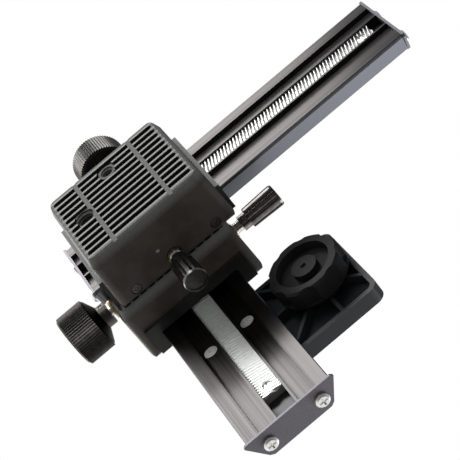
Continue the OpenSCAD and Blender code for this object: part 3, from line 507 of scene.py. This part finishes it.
# A threaded wall: the helix is cut into the inside of a thin tube, or into the outside of a rod.
def makeThread(name, data, material):
    axis = Vector(data["axis"]).normalized()
    side = axis.orthogonal().normalized()
    other = axis.cross(side)
    form, sides = threadForm, threadForm["sides"]
    steps = max(form["stepsPerTurn"], int(data["length"] / data["pitch"] * form["stepsPerTurn"]))
    depth = data["pitch"] * form["depth"]
    points, faces = [], []

    def addPoint(step, turn, radius):
        angle = 2 * math.pi * turn / sides
        across = side * math.cos(angle) + other * math.sin(angle)
        points.append((data["start"] + axis * (data["length"] * step / steps) + across * radius) * mm)

    for i in range(steps + 1):
        taper = min(1.0, i / form["taperSteps"], (steps - i) / form["taperSteps"])
        for j in range(sides):
            phase = (i * data["length"] / steps / data["pitch"] - j / sides) % 1
            ridge = 1 - abs(2 * phase - 1)
            addPoint(i, j, data["radius"] - depth * ridge * taper)
    for i in range(steps):
        for j in range(sides):
            k = (j + 1) % sides
            a, b = i * sides, (i + 1) * sides
            faces.append((a + j, b + j, b + k, a + k) if data["inside"] else (a + j, a + k, b + k, b + j))
    top = steps * sides
    if data["inside"]:
        back = len(points)
        for end in (0, steps):
            for j in range(sides):
                addPoint(end, j, data["radius"] + form["wallShade"])
        for j in range(sides):
            k = (j + 1) % sides
            faces.append((back + j, back + k, back + sides + k, back + sides + j))
            faces.append((j, k, back + k, back + j))
            faces.append((top + k, top + j, back + sides + j, back + sides + k))
    else:
        faces.append(tuple(reversed(range(sides))))
        faces.append(tuple(range(top, top + sides)))
    mesh = bpy.data.meshes.new(name)
    mesh.from_pydata(points, [], faces)
    mesh.update()
    mesh.materials.append(material)
    thread = bpy.data.objects.new(name, mesh)
    bpy.context.collection.objects.link(thread)
    return thread


for name, data in threads.items():
    finish, body, slot = data["host"]
    thread = makeThread(name, data, materials[finish])
    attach(thread, body)
print("stage: threads made")

# Studio: pale all round, so that the metal has something to mirror, cooler and dimmer on the -X side and
# darker towards the front where the photographer stands. Diffuse light finds it plain, at the strength named
# diffuse. A large soft box below and behind shines along the racks' side, smaller ones fill in. place, aim
# and size are in mm, power in W.
studio = {
    "plain": "#ffffff",
    "room": "#fbfaf8",
    "cool": "#9498a0",
    "coolSpan": (0.0, -0.25),
    "dark": "#6e6e6e",
    "darkSpan": (0.2, 0.8),
    "front": (0, -0.83, -0.55),
    "diffuse": 0.5,
}
lamps = {
    "softBoxBehind": {"place": (70, 590, -430), "aim": (0, -20, 30), "size": 560, "power": 3.4},
    "softBoxUnder": {"place": (-50, 120, -750), "aim": (0, 0, 20), "size": 450, "power": 1.6},
    "fillAbove": {"place": (-300, -300, 700), "aim": (0, -30, 40), "size": 500, "power": 3.0},
    "fillSide": {"place": (550, 450, 350), "aim": (0, -20, 30), "size": 500, "power": 2.5},
}


def makeWorld(data):
    world = bpy.data.worlds.new("studioWorld")
    bpy.context.scene.world = world
    world.use_nodes = True
    tree = world.node_tree
    tree.nodes.clear()
    towards = addNode(tree, "TexCoord").outputs["Generated"]
    toFront = addNode(tree, "VectorMath", {"operation": "DOT_PRODUCT"}, {0: towards, 1: data["front"]})
    shade = addNode(tree, "MapRange", smooth, {0: toFront.outputs[1], **ends(data["darkSpan"])})
    side = addNode(tree, "SeparateXYZ", inputs={0: towards}).outputs[0]
    turned = addNode(tree, "MapRange", smooth, {0: side, **ends(data["coolSpan"])})
    sweep = addNode(tree, "Mix", colours, {0: turned, 6: linear(data["room"]), 7: linear(data["cool"])})
    room = addNode(tree, "Mix", colours, {0: shade, 6: sweep.outputs[2], 7: linear(data["dark"])}).outputs[2]
    path = addNode(tree, "LightPath").outputs
    cameraRay, diffuseRay = path["Is Camera Ray"], path["Is Diffuse Ray"]
    plain = addNode(tree, "Math", {"operation": "MAXIMUM"}, {0: cameraRay, 1: diffuseRay})
    seen = addNode(tree, "Mix", colours, {0: plain, 6: room, 7: linear(data["plain"])}).outputs[2]
    strength = addNode(tree, "MapRange", inputs={0: diffuseRay, 3: 1.0, 4: data["diffuse"]})
    light = addNode(tree, "Background", inputs={"Color": seen, "Strength": strength})
    addNode(tree, "OutputWorld", inputs={"Surface": light})


def makeLamp(name, data):
    light = bpy.data.lights.new(name, "AREA")
    light.shape, light.size, light.energy = "DISK", data["size"] * mm, data["power"]
    lamp = bpy.data.objects.new(name, light)
    bpy.context.collection.objects.link(lamp)
    lamp.location = Vector(data["place"]) * mm
    lamp.rotation_mode = "QUATERNION"
    lamp.rotation_quaternion = (Vector(data["aim"]) - Vector(data["place"])).to_track_quat("-Z", "Y")


# The floor shows only from above, because the camera looks up through it. half and height are in mm.
floorPlate = {"half": 1500, "height": -0.05, "colour": "#eeeeec", "roughness": 0.9, "shine": 0.1}


def makeFloor(data):
    h, z = data["half"] * mm, data["height"] * mm
    mesh = bpy.data.meshes.new("paleFloor")
    mesh.from_pydata([(-h, -h, z), (h, -h, z), (h, h, z), (-h, h, z)], [], [(0, 1, 2, 3)])
    material, tree = newMaterial("paleFloor")
    paint = addNode(tree, "BsdfPrincipled", inputs={
        "Base Color": linear(data["colour"]),
        "Roughness": data["roughness"],
        "Specular IOR Level": data["shine"],
    })
    clear = addNode(tree, "BsdfTransparent")
    back = addNode(tree, "NewGeometry").outputs["Backfacing"]
    above = addNode(tree, "Math", {"operation": "SUBTRACT"}, {0: 1.0, 1: back})
    seen = addNode(tree, "LightPath").outputs["Is Camera Ray"]
    shown = addNode(tree, "Math", {"operation": "MULTIPLY"}, {0: above, 1: seen})
    mixed = addNode(tree, "MixShader", inputs={0: shown, 1: clear, 2: paint})
    addNode(tree, "OutputMaterial", inputs={"Surface": mixed})
    mesh.materials.append(material)
    floor = bpy.data.objects.new("paleFloor", mesh)
    bpy.context.collection.objects.link(floor)


makeCamera(camera)
makeWorld(studio)
for name, data in lamps.items():
    makeLamp(name, data)
makeFloor(floorPlate)
bpy.context.scene.view_settings.view_transform = "Standard"
print("stage: studio set")
